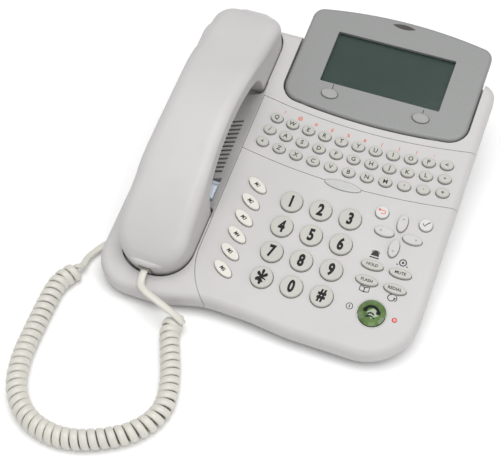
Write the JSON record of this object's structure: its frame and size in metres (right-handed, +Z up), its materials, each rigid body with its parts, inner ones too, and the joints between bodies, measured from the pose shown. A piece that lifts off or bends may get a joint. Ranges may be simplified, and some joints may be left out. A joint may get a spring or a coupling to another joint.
{
  "type": "corded landline phone",
  "caption": "Corded desk telephone with a cradled handset on a coiled cord, a flip-up screen, a letter keyboard, a dial pad and memory, arrow and speaker keys.",
  "frame": {"origin": "on the desk surface, under the middle of the telephone without its cord", "axes": "+X to the user's right, +Y to the back, +Z up; the deck slopes up towards +Y by 14.2 degrees"},
  "size_m": [0.2312, 0.3441, 0.0902],
  "materials": {
    "case_white": "fine spark texture, satin",
    "handset_white": "smooth satin",
    "key_grey": "satin",
    "key_cream": "satin",
    "clear_green": "tinted, glossy",
    "bezel_grey": "silver paint, satin",
    "clear_lens": "clear, glossy",
    "lcd_glass": "dark green, unlit",
    "smoked_lens": "smoked red",
    "red_lens": "diffused red",
    "steel": "zinc plated",
    "black_rubber": "matte",
    "silicone": "matte",
    "board_green": "solder mask",
    "dark_plastic": "matte",
    "aluminium_can": "drawn",
    "clear_plug": "clear",
    "cord_ivory": "soft vinyl",
    "milky_plastic": "translucent"
  },
  "bodies": {
    "base": {"top_housing": "case_white", "keypad_faceplate": "case_white", "letter_faceplate": "case_white", "seam_badge": "bezel_grey", "status_lamp": "red_lens", "hinge_pins": "steel", "bottom_cover": "case_white", "feet": "black_rubber", "case_screws": "steel", "main_board": "board_green", "key_mat": "silicone", "loudspeaker": "dark_plastic", "base_jacks": "dark_plastic", "base_plug": "clear_plug", "cord_handset_tail": "cord_ivory", "cord_coil": "cord_ivory", "cord_base_tail": "cord_ivory"},
    "display": {"display_bezel": "bezel_grey", "display_rear_cover": "bezel_grey", "lcd_window": "clear_lens", "lcd_module": "lcd_glass", "ring_lamp_lens": "smoked_lens"},
    "handset": {"handset_outer_shell": "handset_white", "handset_inner_shell": "handset_white", "earpiece_capsule": "dark_plastic", "microphone_capsule": "aluminium_can", "handset_jack": "dark_plastic", "handset_plug": "clear_plug"},
    "hook_lever": {"hook_lever": "milky_plastic"},
    "digit_key_1": {"digit_key_1": "key_grey"},
    "digit_key_2": {"digit_key_2": "key_grey"},
    "digit_key_3": {"digit_key_3": "key_grey"},
    "digit_key_4": {"digit_key_4": "key_grey"},
    "digit_key_5": {"digit_key_5": "key_grey"},
    "digit_key_6": {"digit_key_6": "key_grey"},
    "digit_key_7": {"digit_key_7": "key_grey"},
    "digit_key_8": {"digit_key_8": "key_grey"},
    "digit_key_9": {"digit_key_9": "key_grey"},
    "digit_key_star": {"digit_key_star": "key_grey"},
    "digit_key_0": {"digit_key_0": "key_grey"},
    "digit_key_hash": {"digit_key_hash": "key_grey"},
    "memory_key_1": {"memory_key_1": "key_cream"},
    "memory_key_2": {"memory_key_2": "key_cream"},
    "memory_key_3": {"memory_key_3": "key_cream"},
    "memory_key_4": {"memory_key_4": "key_cream"},
    "memory_key_5": {"memory_key_5": "key_cream"},
    "memory_key_6": {"memory_key_6": "key_cream"},
    "back_key": {"back_key": "key_grey"},
    "confirm_key": {"confirm_key": "key_grey"},
    "function_key_1": {"function_key_1": "key_grey"},
    "function_key_2": {"function_key_2": "key_grey"},
    "function_key_3": {"function_key_3": "key_grey"},
    "function_key_4": {"function_key_4": "key_grey"},
    "nav_keys": {"nav_keys": "key_cream"},
    "letter_keys_top": {"letter_keys_top": "key_grey"},
    "letter_keys_middle": {"letter_keys_middle": "key_grey"},
    "letter_keys_bottom": {"letter_keys_bottom": "key_grey"},
    "speaker_key": {"speaker_key": "clear_green"},
    "soft_key_left": {"soft_key_left": "bezel_grey"},
    "soft_key_right": {"soft_key_right": "bezel_grey"}
  },
  "joints": [
    {"name": "handset_lift", "type": "slide", "parent": "base", "child": "handset", "axis": [0, -0.2453, 0.9694], "range_m": [0, 0.06]},
    {"name": "display_tilt", "type": "hinge", "parent": "base", "child": "display", "pos_m": [0.03015, 0.03685, 0.05343], "axis": [1, 0, 0], "range_deg": [0, 35]},
    {"name": "hook_switch", "type": "hinge", "parent": "base", "child": "hook_lever", "pos_m": [-0.05075, -0.03017, 0.03049], "axis": [-1, 0, 0], "range_deg": [0, 6]},
    {"name": "digit_key_1_press", "type": "slide", "parent": "base", "child": "digit_key_1", "axis": [0, -0.2453, 0.9694], "range_m": [-0.0012, 0], "stiffness_N_per_m": 300},
    {"name": "digit_key_2_press", "type": "slide", "parent": "base", "child": "digit_key_2", "axis": [0, -0.2453, 0.9694], "range_m": [-0.0012, 0], "stiffness_N_per_m": 300},
    {"name": "digit_key_3_press", "type": "slide", "parent": "base", "child": "digit_key_3", "axis": [0, -0.2453, 0.9694], "range_m": [-0.0012, 0], "stiffness_N_per_m": 300},
    {"name": "digit_key_4_press", "type": "slide", "parent": "base", "child": "digit_key_4", "axis": [0, -0.2453, 0.9694], "range_m": [-0.0012, 0], "stiffness_N_per_m": 300},
    {"name": "digit_key_5_press", "type": "slide", "parent": "base", "child": "digit_key_5", "axis": [0, -0.2453, 0.9694], "range_m": [-0.0012, 0], "stiffness_N_per_m": 300},
    {"name": "digit_key_6_press", "type": "slide", "parent": "base", "child": "digit_key_6", "axis": [0, -0.2453, 0.9694], "range_m": [-0.0012, 0], "stiffness_N_per_m": 300},
    {"name": "digit_key_7_press", "type": "slide", "parent": "base", "child": "digit_key_7", "axis": [0, -0.2453, 0.9694], "range_m": [-0.0012, 0], "stiffness_N_per_m": 300},
    {"name": "digit_key_8_press", "type": "slide", "parent": "base", "child": "digit_key_8", "axis": [0, -0.2453, 0.9694], "range_m": [-0.0012, 0], "stiffness_N_per_m": 300},
    {"name": "digit_key_9_press", "type": "slide", "parent": "base", "child": "digit_key_9", "axis": [0, -0.2453, 0.9694], "range_m": [-0.0012, 0], "stiffness_N_per_m": 300},
    {"name": "digit_key_star_press", "type": "slide", "parent": "base", "child": "digit_key_star", "axis": [0, -0.2453, 0.9694], "range_m": [-0.0012, 0], "stiffness_N_per_m": 300},
    {"name": "digit_key_0_press", "type": "slide", "parent": "base", "child": "digit_key_0", "axis": [0, -0.2453, 0.9694], "range_m": [-0.0012, 0], "stiffness_N_per_m": 300},
    {"name": "digit_key_hash_press", "type": "slide", "parent": "base", "child": "digit_key_hash", "axis": [0, -0.2453, 0.9694], "range_m": [-0.0012, 0], "stiffness_N_per_m": 300},
    {"name": "memory_key_1_press", "type": "slide", "parent": "base", "child": "memory_key_1", "axis": [0, -0.2453, 0.9694], "range_m": [-0.0012, 0], "stiffness_N_per_m": 300},
    {"name": "memory_key_2_press", "type": "slide", "parent": "base", "child": "memory_key_2", "axis": [0, -0.2453, 0.9694], "range_m": [-0.0012, 0], "stiffness_N_per_m": 300},
    {"name": "memory_key_3_press", "type": "slide", "parent": "base", "child": "memory_key_3", "axis": [0, -0.2453, 0.9694], "range_m": [-0.0012, 0], "stiffness_N_per_m": 300},
    {"name": "memory_key_4_press", "type": "slide", "parent": "base", "child": "memory_key_4", "axis": [0, -0.2453, 0.9694], "range_m": [-0.0012, 0], "stiffness_N_per_m": 300},
    {"name": "memory_key_5_press", "type": "slide", "parent": "base", "child": "memory_key_5", "axis": [0, -0.2453, 0.9694], "range_m": [-0.0012, 0], "stiffness_N_per_m": 300},
    {"name": "memory_key_6_press", "type": "slide", "parent": "base", "child": "memory_key_6", "axis": [0, -0.2453, 0.9694], "range_m": [-0.0012, 0], "stiffness_N_per_m": 300},
    {"name": "back_key_press", "type": "slide", "parent": "base", "child": "back_key", "axis": [0, -0.2453, 0.9694], "range_m": [-0.0012, 0], "stiffness_N_per_m": 300},
    {"name": "confirm_key_press", "type": "slide", "parent": "base", "child": "confirm_key", "axis": [0, -0.2453, 0.9694], "range_m": [-0.0012, 0], "stiffness_N_per_m": 300},
    {"name": "function_key_1_press", "type": "slide", "parent": "base", "child": "function_key_1", "axis": [0, -0.2453, 0.9694], "range_m": [-0.0012, 0], "stiffness_N_per_m": 300},
    {"name": "function_key_2_press", "type": "slide", "parent": "base", "child": "function_key_2", "axis": [0, -0.2453, 0.9694], "range_m": [-0.0012, 0], "stiffness_N_per_m": 300},
    {"name": "function_key_3_press", "type": "slide", "parent": "base", "child": "function_key_3", "axis": [0, -0.2453, 0.9694], "range_m": [-0.0012, 0], "stiffness_N_per_m": 300},
    {"name": "function_key_4_press", "type": "slide", "parent": "base", "child": "function_key_4", "axis": [0, -0.2453, 0.9694], "range_m": [-0.0012, 0], "stiffness_N_per_m": 300},
    {"name": "nav_keys_press", "type": "slide", "parent": "base", "child": "nav_keys", "axis": [0, -0.2453, 0.9694], "range_m": [-0.0012, 0], "stiffness_N_per_m": 300},
    {"name": "letter_keys_top_press", "type": "slide", "parent": "base", "child": "letter_keys_top", "axis": [0, -0.2453, 0.9694], "range_m": [-0.0012, 0], "stiffness_N_per_m": 300},
    {"name": "letter_keys_middle_press", "type": "slide", "parent": "base", "child": "letter_keys_middle", "axis": [0, -0.2453, 0.9694], "range_m": [-0.0012, 0], "stiffness_N_per_m": 300},
    {"name": "letter_keys_bottom_press", "type": "slide", "parent": "base", "child": "letter_keys_bottom", "axis": [0, -0.2453, 0.9694], "range_m": [-0.0012, 0], "stiffness_N_per_m": 300},
    {"name": "speaker_key_press", "type": "slide", "parent": "base", "child": "speaker_key", "axis": [0, -0.2453, 0.9694], "range_m": [-0.0012, 0], "stiffness_N_per_m": 300},
    {"name": "soft_key_left_press", "type": "slide", "parent": "display", "child": "soft_key_left", "axis": [0, -0.2453, 0.9694], "range_m": [-0.001, 0], "stiffness_N_per_m": 300},
    {"name": "soft_key_right_press", "type": "slide", "parent": "display", "child": "soft_key_right", "axis": [0, -0.2453, 0.9694], "range_m": [-0.001, 0], "stiffness_N_per_m": 300}
  ],
  "couplings": [
    {"joint": "hook_switch", "follows": "handset_lift", "rad_per_m": 1.7}
  ]
}
